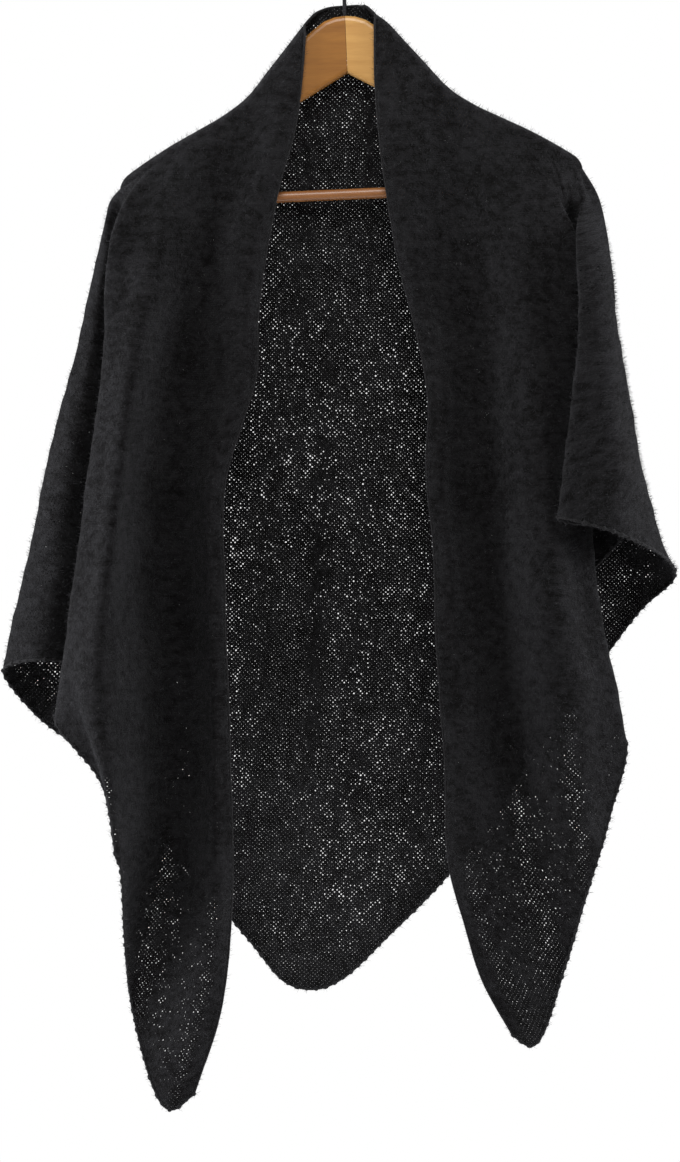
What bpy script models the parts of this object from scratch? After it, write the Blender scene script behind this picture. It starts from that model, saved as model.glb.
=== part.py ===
"""A knitted triangle scarf hung over a wooden hanger, as one rigid part.

The front faces -Y, +X is to the viewer's right and +Z is up. The origin is the inside top of the
hanger's hook, where a rail holds it. The scarf is one triangle of knit. Its long edge runs round
the back of the neck and down both fronts, and its point hangs down the back. It is built as the
three stretches that show: the back, the left front and the right front. Each stretch is a grid.
Its columns follow the fold lines tabled below, and its rows share the way from crest to hem.
"""
from collections import namedtuple
from math import cos, pi, radians, sin

import bmesh
import bpy
import numpy as np

MM = 0.001

# Cloth, in millimetres
WALL = 2.4
SEAM_GAP = 0.3
CREST_HALF = 8.8
CREST_DROP = 8.0
CREST_ROWS = 3
NECK_TUCK = 0.8
HANG_ROWS = 18

# Hanger, in millimetres
ROLL = radians(-2.5)
ARM_THICK = 13.0
ARM_EDGE = 4.6
BAR_DIAMETER = 10.6
BAR_DROP = 235.0
BAR_REACH = 197.0
BORE_PLAY = 0.3
HOOK_WIRE = 3.8
HOOK_INSIDE = 19.0
HOOK_SEAT = 78.0
NECK_TOP = 62.0

# Inner side of the cloth where it lies over one arm: out from the hanger's centre, below the origin
Crest = namedtuple("Crest", "out drop")
CREST = (
    Crest(0, 53), Crest(20, 57), Crest(30, 63.5), Crest(39, 70.5), Crest(55, 89),
    Crest(75, 112.5), Crest(95, 136), Crest(118, 153), Crest(147, 168.5),
    Crest(175, 183), Crest(200, 198), Crest(214, 207),
)

# Outline of one arm, seen from the front: out from the centre, below the origin
ARM_OUTLINE = (
    Crest(0.15, 62), Crest(10, 63), Crest(20, 66.5), Crest(31, 74), Crest(43, 84), Crest(55, 95),
    Crest(75, 118), Crest(95, 139), Crest(118, 154.4), Crest(147, 169.9), Crest(175, 184.2),
    Crest(195, 197), Crest(204, 205.5), Crest(210, 212.5), Crest(212.5, 222), Crest(211, 232),
    Crest(206, 239), Crest(198, 242.5), Crest(190, 237), Crest(165, 217), Crest(118, 184),
    Crest(50, 146), Crest(0.15, 118),
)

# A place on a fold line: height, across and depth, from the origin
At = namedtuple("At", "z x y")

# A fold line: where it leaves the crest (from the hanger's centre), the way it leaves
# (0 forwards, 90 to the left, 180 backwards, 270 to the right), the columns to the next line, and its places
Fold = namedtuple("Fold", "name crest way columns places")

LEFT_SIDE = Fold("left side", -214, 90, 5, (
    At(-240, -222, 0), At(-262, -228, 0), At(-291, -235, 0), At(-357, -252, 0), At(-409, -265, 0),
    At(-471, -279, 0), At(-572, -299, 0), At(-638, -316, 1), At(-697, -327, 2)))

LEFT_FRONT = (
    Fold("opening edge", -39, 0, 2, (
        At(-118, -39, -10), At(-165, -45, -12), At(-234, -63, -17), At(-352, -82, -30),
        At(-417, -85, -36), At(-465, -100, -40), At(-500, -111, -42), At(-620, -114, -48),
        At(-775, -109, -52), At(-935, -108, -56), At(-1021, -117, -56), At(-1104, -143, -54))),
    Fold("edge roll", -52, 0, 4, (
        At(-165, -60, -17), At(-234, -79, -25), At(-352, -98, -40), At(-417, -102, -46),
        At(-500, -127, -52), At(-620, -130, -58), At(-775, -125, -62), At(-935, -124, -66),
        At(-1021, -136, -64), At(-1119, -167, -56))),
    Fold("front valley", -100, 0, 5, (
        At(-234, -115, -14), At(-352, -140, -18), At(-465, -152, -20), At(-575, -156, -20),
        At(-700, -158, -22), At(-850, -170, -28), At(-940, -188, -36), At(-1015, -204, -42))),
    Fold("front column", -155, 0, 3, (
        At(-234, -167, -22), At(-352, -190, -52), At(-465, -205, -74), At(-575, -218, -88),
        At(-700, -230, -96), At(-800, -223, -93), At(-885, -214, -86))),
    Fold("column side", -175, 2, 4, (
        At(-240, -188, -20), At(-352, -212, -46), At(-465, -224, -62), At(-575, -238, -74),
        At(-700, -254, -82), At(-805, -230, -82))),
    Fold("front fold", -190, 4, 3, (
        At(-240, -207, -19), At(-270, -220, -27), At(-300, -225, -31), At(-400, -230, -40),
        At(-500, -242, -48), At(-620, -258, -55), At(-700, -269, -60), At(-740, -275, -60))),
    Fold("hidden front", -196, 14, 3, (
        At(-240, -207, -16), At(-270, -212, -19), At(-300, -213, -21), At(-400, -212, -26),
        At(-500, -215, -30), At(-722, -222, -36))),
    Fold("hidden fold front", -200, 24, 3, (
        At(-240, -209, -14), At(-270, -208, -15), At(-300, -202, -16), At(-400, -188, -18),
        At(-500, -178, -18), At(-706, -176, -16))),
    Fold("hidden fold back", -203, 34, 3, (
        At(-240, -211, -12), At(-270, -209, -6), At(-300, -202, -4), At(-400, -187, -4),
        At(-500, -177, -4), At(-701, -176, -2))),
    Fold("hidden back", -207, 48, 3, (
        At(-240, -214, -10), At(-270, -215, -2), At(-300, -213, 0), At(-400, -217, 0),
        At(-500, -225, -3), At(-692, -240, -8))),
    Fold("outer column", -211, 66, 3, (
        At(-240, -219, -6), At(-300, -230, -11), At(-400, -247, -18), At(-500, -263, -24),
        At(-600, -279, -28), At(-686, -291, -29))),
    LEFT_SIDE,
)

RIGHT_SIDE = Fold("right side", 214, 270, 3, (
    At(-235, 246, 0), At(-265, 254, 0), At(-312, 261, 0), At(-382, 269, 0), At(-424, 277, 0),
    At(-492, 289, 0), At(-542, 300, 0), At(-589, 314, 1), At(-605, 322, 2)))

RIGHT_FRONT = (
    RIGHT_SIDE,
    Fold("outer column", 211, 286, 4, (
        At(-240, 238, -7), At(-270, 245, -24), At(-300, 251, -42), At(-350, 257, -58),
        At(-450, 263, -72), At(-565, 266, -86))),
    Fold("outer fold front", 208, 304, 3, (
        At(-240, 234, -11), At(-270, 228, -35), At(-300, 228, -51), At(-350, 230, -63),
        At(-450, 221, -75), At(-549, 209, -81))),
    Fold("outer fold back", 205, 318, 3, (
        At(-240, 231, -11), At(-270, 231, -27), At(-300, 232, -38), At(-350, 234, -51),
        At(-450, 226, -62), At(-553, 216, -67))),
    Fold("outer lining", 202, 328, 3, (
        At(-240, 227, -12), At(-270, 235, -19), At(-300, 243, -27), At(-350, 253, -36),
        At(-450, 262, -44), At(-560, 275, -47))),
    Fold("outer hidden fold", 199, 336, 3, (
        At(-240, 223, -13), At(-270, 232, -8), At(-300, 241, -10), At(-350, 251, -12),
        At(-450, 262, -13), At(-567, 273, -12))),
    Fold("hidden back", 195, 342, 3, (
        At(-240, 218, -14), At(-270, 216, -2), At(-300, 214, 0), At(-450, 208, 0),
        At(-640, 203, 0))),
    Fold("hidden fold back", 192, 346, 3, (
        At(-240, 215, -16), At(-270, 208, -7), At(-300, 198, -5), At(-350, 186, -6),
        At(-450, 170, -7), At(-540, 158, -7), At(-698, 150, -7))),
    Fold("hidden fold front", 189, 350, 3, (
        At(-240, 213, -17), At(-270, 207, -17), At(-300, 198, -18), At(-350, 186, -19),
        At(-450, 170, -20), At(-540, 158, -20), At(-705, 150, -20))),
    Fold("hidden front", 186, 354, 3, (
        At(-240, 210, -19), At(-270, 212, -21), At(-300, 213, -22), At(-350, 211, -23),
        At(-450, 207, -24), At(-728, 201, -24))),
    Fold("front fold", 181, 356, 4, (
        At(-240, 208, -21), At(-270, 223, -27), At(-300, 229, -31), At(-350, 232, -33),
        At(-450, 240, -34), At(-583, 241, -34), At(-644, 248, -34), At(-707, 262, -32),
        At(-758, 271, -30))),
    Fold("column side", 165, 358, 3, (
        At(-240, 186, -22), At(-350, 208, -40), At(-450, 216, -46), At(-590, 222, -48),
        At(-700, 240, -46), At(-838, 257, -44))),
    Fold("front column", 145, 360, 4, (
        At(-221, 160, -21), At(-308, 172, -36), At(-434, 186, -52), At(-590, 200, -63),
        At(-750, 217, -66), At(-902, 238, -60))),
    Fold("front valley", 90, 360, 4, (
        At(-221, 104, -14), At(-308, 120, -20), At(-434, 138, -27), At(-590, 148, -32),
        At(-783, 162, -38), At(-895, 182, -44), At(-985, 214, -48))),
    Fold("edge roll", 43, 360, 2, (
        At(-132, 49, -16), At(-221, 58, -23), At(-308, 72, -32), At(-434, 100, -46),
        At(-502, 97, -50), At(-590, 105, -54), At(-783, 116, -60), At(-895, 122, -62),
        At(-960, 140, -60), At(-1058, 184, -53))),
    Fold("opening edge", 29, 360, 0, (
        At(-132, 33, -11), At(-221, 42, -16), At(-308, 57, -24), At(-380, 75, -32),
        At(-434, 84, -38), At(-502, 82, -42), At(-590, 90, -46), At(-648, 91, -48),
        At(-783, 100, -52), At(-895, 106, -54), At(-937, 118, -55), At(-995, 136, -54),
        At(-1048, 165, -52))),
)

# The neck's free lines start from a place of their own, not from the crest
BACK = (
    LEFT_SIDE,
    Fold("left turn", -206, 132, 4, (
        At(-240, -214, 10), At(-300, -224, 12), At(-450, -257, 15), At(-600, -286, 18),
        At(-738, -299, 20))),
    Fold("left shoulder", -175, 180, 4, (
        At(-300, -190, 14), At(-450, -208, 21), At(-600, -226, 27), At(-782, -245, 30))),
    Fold("left back", -100, 180, 3, (
        At(-300, -108, 11), At(-450, -118, 15), At(-600, -128, 18), At(-750, -139, 20),
        At(-887, -150, 20))),
    Fold("left neck", -39, 180, 3, (
        At(-200, -44, 10), At(-300, -49, 13), At(-450, -58, 19), At(-600, -66, 25),
        At(-800, -77, 29), At(-962, -88, 27))),
    Fold("left of neck", At(-57, -19, 8), 180, 2, (
        At(-200, -24, 14), At(-450, -34, 20), At(-700, -44, 26), At(-1001, -54, 26))),
    Fold("centre", At(-52, 5, 11), 180, 2, (
        At(-200, 0, 15), At(-450, -8, 18), At(-700, -16, 22), At(-1007, -26, 24))),
    Fold("right of neck", At(-53, 19, 9), 180, 3, (
        At(-200, 22, 14), At(-450, 18, 19), At(-700, 10, 25), At(-997, 0, 26))),
    Fold("right neck", 29, 180, 3, (
        At(-200, 38, 10), At(-300, 42, 13), At(-450, 45, 19), At(-600, 46, 25),
        At(-800, 46, 29), At(-954, 46, 28))),
    Fold("right back", 100, 180, 4, (
        At(-300, 108, 11), At(-450, 108, 15), At(-600, 107, 18), At(-750, 106, 20),
        At(-893, 105, 20))),
    Fold("right shoulder", 175, 180, 4, (
        At(-300, 192, 14), At(-450, 194, 21), At(-600, 193, 26), At(-777, 190, 28))),
    Fold("right turn", 206, 228, 5, (
        At(-235, 238, 10), At(-300, 250, 12), At(-450, 268, 15), At(-540, 281, 18),
        At(-640, 288, 20))),
    RIGHT_SIDE._replace(columns=0),
)

# Viewport colours: colour, roughness
FINISH = {
    "knit": ((0.016, 0.017, 0.020), 0.95),
    "beech": ((0.62, 0.36, 0.13), 0.40),
    "bar": ((0.42, 0.20, 0.12), 0.40),
    "steel": ((0.05, 0.05, 0.055), 0.30),
}


def hermite(knots, values, at):
    """Values on a smooth curve through the knots, with a slope at each knot from its neighbours."""
    knots = np.asarray(knots, float)
    values = np.asarray(values, float)
    steps = np.diff(knots)
    rises = np.diff(values, axis=0) / steps[:, None]
    slopes = np.empty_like(values)
    slopes[0], slopes[-1] = rises[0], rises[-1]
    near, far = steps[:-1, None], steps[1:, None]
    slopes[1:-1] = (rises[:-1] * far + rises[1:] * near) / (near + far)
    span = np.clip(np.searchsorted(knots, at) - 1, 0, len(knots) - 2)
    t = ((at - knots[span]) / steps[span])[:, None]
    length = steps[span][:, None]
    return ((2 * t**3 - 3 * t**2 + 1) * values[span]
            + (t**3 - 2 * t**2 + t) * length * slopes[span]
            + (3 * t**2 - 2 * t**3) * values[span + 1]
            + (t**3 - t**2) * length * slopes[span + 1])


def rolled(out, drop):
    """A place in the hanger's front view, turned with it about the hook."""
    return np.array((out * cos(ROLL) - drop * sin(ROLL), 0.0, out * sin(-ROLL) - drop * cos(ROLL)))


def crest_place(out):
    """The cloth's inner side on top of the arm, this far out from the hanger's centre."""
    table = np.array(CREST)
    drop = hermite(table[:, 0], table[:, 1:], np.array([abs(out)]))[0, 0]
    return rolled(out, drop)


def heading(way):
    """The level direction in which the cloth leaves the crest."""
    return np.array((-sin(radians(way)), -cos(radians(way)), 0.0))


def crest_tops(folds):
    """Each column's place on the crest or the neck's free edge, and how it leaves it.

    A column that leaves towards the arm's end falls with the crest, as the cloth lies there.
    """
    places, ways = [], []
    ends = np.array([crest_place(f.crest) if not isinstance(f.crest, At)
                     else (f.crest.x, f.crest.y, f.crest.z) for f in folds])
    for here, (fold, following) in enumerate(zip(folds, folds[1:])):
        free = isinstance(fold.crest, At) or isinstance(following.crest, At)
        for share in np.linspace(0, 1, fold.columns, endpoint=False):
            way = heading(fold.way + share * (following.way - fold.way))
            if free:
                places.append(hermite(range(len(folds)), ends, np.array([here + share]))[0])
            else:
                out = fold.crest + share * (following.crest - fold.crest)
                places.append(crest_place(out))
                fall = crest_place(out * 1.01) - places[-1]
                way[2] = abs(way[0]) * fall[2] / abs(fall[0])
            ways.append(way)
    return np.array(places + [ends[-1]]), np.array(ways + [heading(folds[-1].way)])


def crest_rows(folds):
    """The rows of points that turn over the crest, from its top to where the cloth hangs free."""
    tops, ways = crest_tops(folds)
    swell = np.clip(1 - NECK_TUCK * tops[:, 1:2] / CREST_HALF, 0, 1)
    turns = np.linspace(0, pi / 2, CREST_ROWS + 1)
    down = np.array((0.0, 0.0, CREST_DROP))
    return np.array([tops + CREST_HALF * sin(t) * swell * ways - down * (1 - cos(t)) for t in turns])


def hang_line(fold, start):
    """The points of one fold line, from below the crest to the hem."""
    heights = np.array([start[2]] + [place.z for place in fold.places])
    spots = np.array([start[:2]] + [(place.x, place.y) for place in fold.places])
    levels = np.linspace(heights[0], heights[-1], HANG_ROWS + 1)
    return np.column_stack([hermite(-heights, spots, -levels), levels])


def across(folds, keys):
    """One row of points: a smooth curve through a point of each fold line."""
    spread = np.sqrt(np.linalg.norm(np.diff(keys, axis=0), axis=1))
    knots = np.concatenate([[0], np.cumsum(spread)])
    at = [np.linspace(knots[i], knots[i + 1], fold.columns, endpoint=False)
          for i, fold in enumerate(folds[:-1])]
    return hermite(knots, keys, np.concatenate(at + [knots[-1:]]))


def sheet_points(folds):
    """Rows of points across a run of folds, over the crest and then down to the hem."""
    over = crest_rows(folds)
    first = columns_of(folds)
    lines = np.array([hang_line(fold, over[-1, column]) for fold, column in zip(folds, first)])
    hang = np.array([across(folds, lines[:, row]) for row in range(HANG_ROWS + 1)])
    fade = np.linspace(1, 0, HANG_ROWS + 1)[:, None, None] ** 2
    hang += (over[-1] - hang[0]) * fade
    return np.concatenate([over, hang[1:]])


def columns_of(folds):
    """The first column of each fold line in a run."""
    counts = [fold.columns for fold in folds[:-1]]
    return np.concatenate([[0], np.cumsum(counts)]).astype(int)


def whole_cloth():
    """The three stretches' points, in metres, cut from one sheet and parted at its seams."""
    run = LEFT_FRONT[:-1] + BACK[:-1] + RIGHT_FRONT
    points = sheet_points(run)
    first = columns_of(run)
    left, right = first[len(LEFT_FRONT) - 1], first[len(LEFT_FRONT) + len(BACK) - 2]
    stretches = {
        "left_front": points[:, :left + 1].copy(),
        "back": points[:, left:right + 1].copy(),
        "right_front": points[:, right:].copy(),
    }
    half = SEAM_GAP / 2
    for name, sides in (("left_front", (-1,)), ("back", (0, -1)), ("right_front", (0,))):
        grid = stretches[name]
        for side in sides:
            inner = grid[:, 1 if side == 0 else -2]
            step = inner - grid[:, side]
            grid[:, side] += half * step / np.linalg.norm(step, axis=1)[:, None]
        step = grid[1] - grid[0]
        grid[0] += half * step / np.linalg.norm(step, axis=1)[:, None]
    return {name: grid * MM for name, grid in stretches.items()}


def material(name):
    """A plain Principled material for one finish."""
    colour, roughness = FINISH[name]
    made = bpy.data.materials.new(name)
    made.use_nodes = True
    shader = made.node_tree.nodes["Principled BSDF"]
    shader.inputs["Base Color"].default_value = (*colour, 1.0)
    shader.inputs["Roughness"].default_value = roughness
    shader.inputs["Metallic"].default_value = 1.0 if name == "steel" else 0.0
    made.diffuse_color = (*colour, 1.0)
    return made


def named(obj, name, finish, home):
    """The object with its name, its material and its place in the part's collection."""
    obj.name = name
    obj.data.materials.append(material(finish))
    for collection in list(obj.users_collection):
        collection.objects.unlink(obj)
    home.objects.link(obj)
    return obj


def cloth_stretch(name, grid, home):
    """One stretch of knit: a grid of faces over the points, thickened outwards."""
    rows, columns = grid.shape[:2]
    mesh = bpy.data.meshes.new(name)
    build = bmesh.new()
    verts = [[build.verts.new(point) for point in row] for row in grid]
    for r in range(rows - 1):
        for c in range(columns - 1):
            build.faces.new((verts[r][c], verts[r][c + 1], verts[r + 1][c + 1], verts[r + 1][c]))
    build.to_mesh(mesh)
    build.free()
    mesh.shade_smooth()
    stretch = named(bpy.data.objects.new(name, mesh), name, "knit", home)
    wall = stretch.modifiers.new("wall", "SOLIDIFY")
    wall.thickness = WALL * MM
    wall.offset = 1.0
    return stretch


def cylinder(name, radius, length, place, axis):
    """A capped cylinder with its middle at the place, along X or Z, turned with the hanger."""
    turn = (0, pi / 2 + ROLL, 0) if axis == "X" else (0, ROLL, 0)
    bpy.ops.mesh.primitive_cylinder_add(
        vertices=24, radius=radius * MM, depth=length * MM, location=place * MM, rotation=turn)
    made = bpy.context.active_object
    made.name = name
    return made


def hide_cutter(cutter, store):
    """The cutter as a guide, in its own collection."""
    cutter.display_type = "WIRE"
    cutter.hide_render = True
    for collection in list(cutter.users_collection):
        collection.objects.unlink(cutter)
    store.objects.link(cutter)


def hanger_arm(name, side, bores, home):
    """Half of the hanger: its outline given thickness, its edges rounded and its holes bored."""
    outline = bpy.data.curves.new(name, "CURVE")
    outline.dimensions = "2D"
    outline.fill_mode = "BOTH"
    outline.extrude = ARM_THICK / 2 * MM
    spline = outline.splines.new("POLY")
    spline.points.add(len(ARM_OUTLINE) - 1)
    for point, corner in zip(spline.points, ARM_OUTLINE):
        point.co = (side * corner.out * MM, -corner.drop * MM, 0, 1)
    spline.use_cyclic_u = True
    flat = bpy.data.objects.new(name + "_outline", outline)
    home.objects.link(flat)
    bpy.context.view_layer.update()
    mesh = bpy.data.meshes.new_from_object(flat.evaluated_get(bpy.context.evaluated_depsgraph_get()))
    bpy.data.objects.remove(flat)
    build = bmesh.new()
    build.from_mesh(mesh)
    bmesh.ops.remove_doubles(build, verts=build.verts, dist=0.00005)
    bmesh.ops.dissolve_limit(build, angle_limit=radians(1), verts=build.verts, edges=build.edges)
    bmesh.ops.recalc_face_normals(build, faces=build.faces)
    weight = build.edges.layers.float.new("bevel_weight_edge")
    seam = 2 * ARM_OUTLINE[0].out * MM
    for edge in build.edges:
        start, end = (vert.co for vert in edge.verts)
        glued = max(abs(start.x), abs(end.x)) < seam
        outline_edge = start.z * end.z > 0 and edge.calc_face_angle(0) > pi / 4
        edge[weight] = 1.0 if outline_edge and not glued else 0.0
    build.to_mesh(mesh)
    build.free()
    arm = named(bpy.data.objects.new(name, mesh), name, "beech", home)
    arm.rotation_euler = (pi / 2, ROLL, 0)
    round_edges = arm.modifiers.new("round edges", "BEVEL")
    round_edges.width = ARM_EDGE * MM
    round_edges.segments = 3
    round_edges.limit_method = "WEIGHT"
    for bore in bores:
        cut = arm.modifiers.new(bore.name, "BOOLEAN")
        cut.operation = "DIFFERENCE"
        cut.object = bore
    return arm


def hook(home):
    """The steel hook: a stem from its seat in the wood, then round the rail."""
    radius = HOOK_INSIDE + HOOK_WIRE / 2
    centre = -HOOK_INSIDE
    bend = 8.0
    path = [(0, -HOOK_SEAT), (0, centre - radius - bend - 6)]
    for step in range(1, 7):
        turn = pi / 2 * step / 6
        path.append((bend * (1 - cos(turn)), centre - radius - bend + bend * sin(turn)))
    start = -pi / 2 + 2 * bend / radius
    for step in range(1, 27):
        turn = start + (radians(205) - start) * step / 26
        path.append((radius * cos(turn), centre + radius * sin(turn)))
    wire = bpy.data.curves.new("hook", "CURVE")
    wire.dimensions = "3D"
    wire.bevel_depth = HOOK_WIRE / 2 * MM
    wire.bevel_resolution = 2
    wire.use_fill_caps = True
    spline = wire.splines.new("POLY")
    spline.points.add(len(path) - 1)
    for point, (out, up) in zip(spline.points, path):
        point.co = (out * MM, 0, up * MM, 1)
    made = named(bpy.data.objects.new("hook", wire), "hook", "steel", home)
    made.rotation_euler = (0, ROLL, 0)
    return made


def hanger(home, cutters):
    """The arms glued at the middle, the trouser bar let into their ends and the hook on top."""
    bar_middle = rolled(0, BAR_DROP)
    bar = cylinder("trouser_bar", BAR_DIAMETER / 2, 2 * BAR_REACH, bar_middle, "X")
    named(bar, "trouser_bar", "bar", home)
    bar_bore = cylinder("bar bore", BAR_DIAMETER / 2 + BORE_PLAY, 2 * (BAR_REACH + BORE_PLAY),
                        bar_middle, "X")
    stem_length = HOOK_SEAT - NECK_TOP + 10
    stem_middle = rolled(0, HOOK_SEAT + BORE_PLAY - stem_length / 2)
    stem_bore = cylinder("stem bore", HOOK_WIRE / 2 + BORE_PLAY, stem_length, stem_middle, "Z")
    for cutter in (bar_bore, stem_bore):
        hide_cutter(cutter, cutters)
    for name, side in (("hanger_left_arm", -1), ("hanger_right_arm", 1)):
        hanger_arm(name, side, (bar_bore, stem_bore), home)
    hook(home)


def main():
    for obj in list(bpy.data.objects):
        bpy.data.objects.remove(obj)
    home = bpy.data.collections.new("triangle_scarf_on_hanger")
    cutters = bpy.data.collections.new("cutters")
    for collection in (home, cutters):
        bpy.context.scene.collection.children.link(collection)
    for name, grid in whole_cloth().items():
        cloth_stretch(name, grid, home)
    hanger(home, cutters)


main()
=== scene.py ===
# %% [markdown]
# # A mohair triangle scarf on a wooden hanger
# The imported CAD part is loaded first. It fixes where everything is and how big it is. This script
# only dresses it: a fine sheet of knit takes the place of the three plain cloth solids, and the
# hanger's own solids stay and get wood and steel.

# %% Load the frame
from collections import namedtuple
from math import cos, pi, radians, sin

import bpy
import numpy as np
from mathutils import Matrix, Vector


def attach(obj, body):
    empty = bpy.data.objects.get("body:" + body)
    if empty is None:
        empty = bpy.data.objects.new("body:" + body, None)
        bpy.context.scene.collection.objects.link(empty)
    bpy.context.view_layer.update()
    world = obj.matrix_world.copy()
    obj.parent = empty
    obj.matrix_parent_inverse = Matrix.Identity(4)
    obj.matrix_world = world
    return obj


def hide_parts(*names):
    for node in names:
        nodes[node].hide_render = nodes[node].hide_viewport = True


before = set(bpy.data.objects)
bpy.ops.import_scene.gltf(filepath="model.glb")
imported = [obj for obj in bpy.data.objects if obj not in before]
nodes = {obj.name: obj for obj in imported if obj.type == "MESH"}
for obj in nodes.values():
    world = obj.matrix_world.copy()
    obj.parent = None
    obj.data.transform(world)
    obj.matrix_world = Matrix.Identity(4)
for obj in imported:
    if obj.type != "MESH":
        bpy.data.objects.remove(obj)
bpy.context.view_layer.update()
MM = 0.001
print("nodes:", sorted(nodes))

# %% [markdown]
# ## Stage, light and camera
# The scarf hangs before a plain white background. Only the camera sees the world as white: the
# cloth gets a dim, warm light from it, so that black mohair keeps its depth. Two large, cool
# windows at the sides raise the edges of the folds, a lamp above and in front keeps the middle
# from going flat, and one behind shines through the knit. The camera looks straight at the
# cloth from far away, because the fold tables hold no perspective.

# %% Stage and light
MIDDLE = (-0.002, 0.0, -0.610)
SHOULDERS = (0, 0, -0.3)
FLOOR_LEVEL = -1.42
WORLD_LIGHT = 0.26
WHITE = (1.0, 1.0, 1.0)
WARM = (1.0, 0.95, 0.91)
COOL = (0.94, 0.955, 1.0)


def put_in_scene(name, data):
    """A new object at the origin, for a mesh, a lamp or a camera."""
    made = bpy.data.objects.new(name, data)
    bpy.context.scene.collection.objects.link(made)
    return made


def matt_material(name, colour):
    """A plain, matt material for the stage."""
    made = bpy.data.materials.new(name)
    made.use_nodes = True
    shader = made.node_tree.nodes["Principled BSDF"]
    shader.inputs["Base Color"].default_value = (*colour, 1)
    shader.inputs["Roughness"].default_value = 0.9
    return made


def area_lamp(name, place, target, size, watts, colour=WHITE):
    """A soft square lamp at a place, turned to look at its target."""
    lamp = bpy.data.lights.new(name, "AREA")
    lamp.shape, lamp.size, lamp.energy, lamp.color = "SQUARE", size, watts, colour
    holder = put_in_scene(name, lamp)
    holder.location = place
    look = Vector(target) - Vector(place)
    holder.rotation_euler = look.to_track_quat("-Z", "Y").to_euler()


world = bpy.data.worlds.new("white studio")
world.use_nodes = True
sky = world.node_tree
ambient = sky.nodes["Background"]
ambient.inputs["Color"].default_value = (*WARM, 1)
ambient.inputs["Strength"].default_value = WORLD_LIGHT
backdrop = sky.nodes.new("ShaderNodeBackground")
backdrop.inputs["Color"].default_value = (*WHITE, 1)
seen = sky.nodes.new("ShaderNodeLightPath")
either = sky.nodes.new("ShaderNodeMixShader")
sky.links.new(seen.outputs["Is Camera Ray"], either.inputs["Fac"])
sky.links.new(ambient.outputs[0], either.inputs[1])
sky.links.new(backdrop.outputs[0], either.inputs[2])
sky.links.new(either.outputs[0], sky.nodes["World Output"].inputs["Surface"])
bpy.context.scene.world = world
bpy.context.scene.view_settings.view_transform = "Standard"
bpy.context.scene.view_settings.look = "None"

bpy.ops.mesh.primitive_plane_add(size=2.4, location=(0, 0.1, FLOOR_LEVEL))
floor = bpy.context.active_object
floor.name = "floor"
floor.data.materials.append(matt_material("pale floor", (0.9, 0.9, 0.9)))

area_lamp("left window", (-2.3, -0.2, -0.25), MIDDLE, 1.3, 112, COOL)
area_lamp("right window", (2.3, -0.2, -0.25), MIDDLE, 1.3, 84, COOL)
area_lamp("overhead", (0, -0.9, 0.75), SHOULDERS, 0.8, 15)
area_lamp("behind", (0, 2.4, 0.2), MIDDLE, 1.6, 25)

# %% Camera
FRAME_HEIGHT = 1.1271
CAMERA_AWAY = 8.0
SENSOR = 24

camera = bpy.data.cameras.new("camera")
camera.sensor_fit = "VERTICAL"
camera.sensor_height = SENSOR
camera.lens = SENSOR * CAMERA_AWAY / FRAME_HEIGHT
tripod = put_in_scene("camera", camera)
tripod.location = (MIDDLE[0], -CAMERA_AWAY, MIDDLE[2])
tripod.rotation_euler = (pi / 2, 0, 0)
bpy.context.scene.camera = tripod
print("lens", round(camera.lens, 1), "mm")

# %% [markdown]
# ## The folds
# The CAD part's cloth is made from fold lines: each leaves the arm of the hanger at a crest and
# hangs down through a few tabled places. The same tables are repeated here, so the fine sheet
# lies exactly on its plain form. They are sizes in millimetres.
#
# The crest runs along the tops of the arms. From it the cloth turns down through a quarter of an
# oval, `CREST_HALF` out and `CREST_DROP` down, and `NECK_TUCK` narrows that turn where the neck's
# free edge stands back. Each fold line has a direction, `way`, in which it leaves the crest: 0 is
# to the front, 90 to the viewer's left, 180 to the back. `columns` is how many columns follow it
# up to the next line in the CAD part, and the sheet has `FINER` times as many.

# %% Fold tables
WALL = 2.4
CREST_HALF = 8.8
CREST_DROP = 8.0
NECK_TUCK = 0.8
ROLL = radians(-2.5)
FINER = 2.5
CREST_ROWS = 8
HANG_ROWS = 144

Crest = namedtuple("Crest", "out drop")
CREST = (
    Crest(0, 53), Crest(20, 57), Crest(30, 63.5), Crest(39, 70.5), Crest(55, 89),
    Crest(75, 112.5), Crest(95, 136), Crest(118, 153), Crest(147, 168.5),
    Crest(175, 183), Crest(200, 198), Crest(214, 207),
)
At = namedtuple("At", "z x y")
Fold = namedtuple("Fold", "name crest way columns places")

LEFT_SIDE = Fold("left side", -214, 90, 5, (
    At(-240, -222, 0), At(-262, -228, 0), At(-291, -235, 0), At(-357, -252, 0), At(-409, -265, 0),
    At(-471, -279, 0), At(-572, -299, 0), At(-638, -316, 1), At(-697, -327, 2)))

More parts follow.
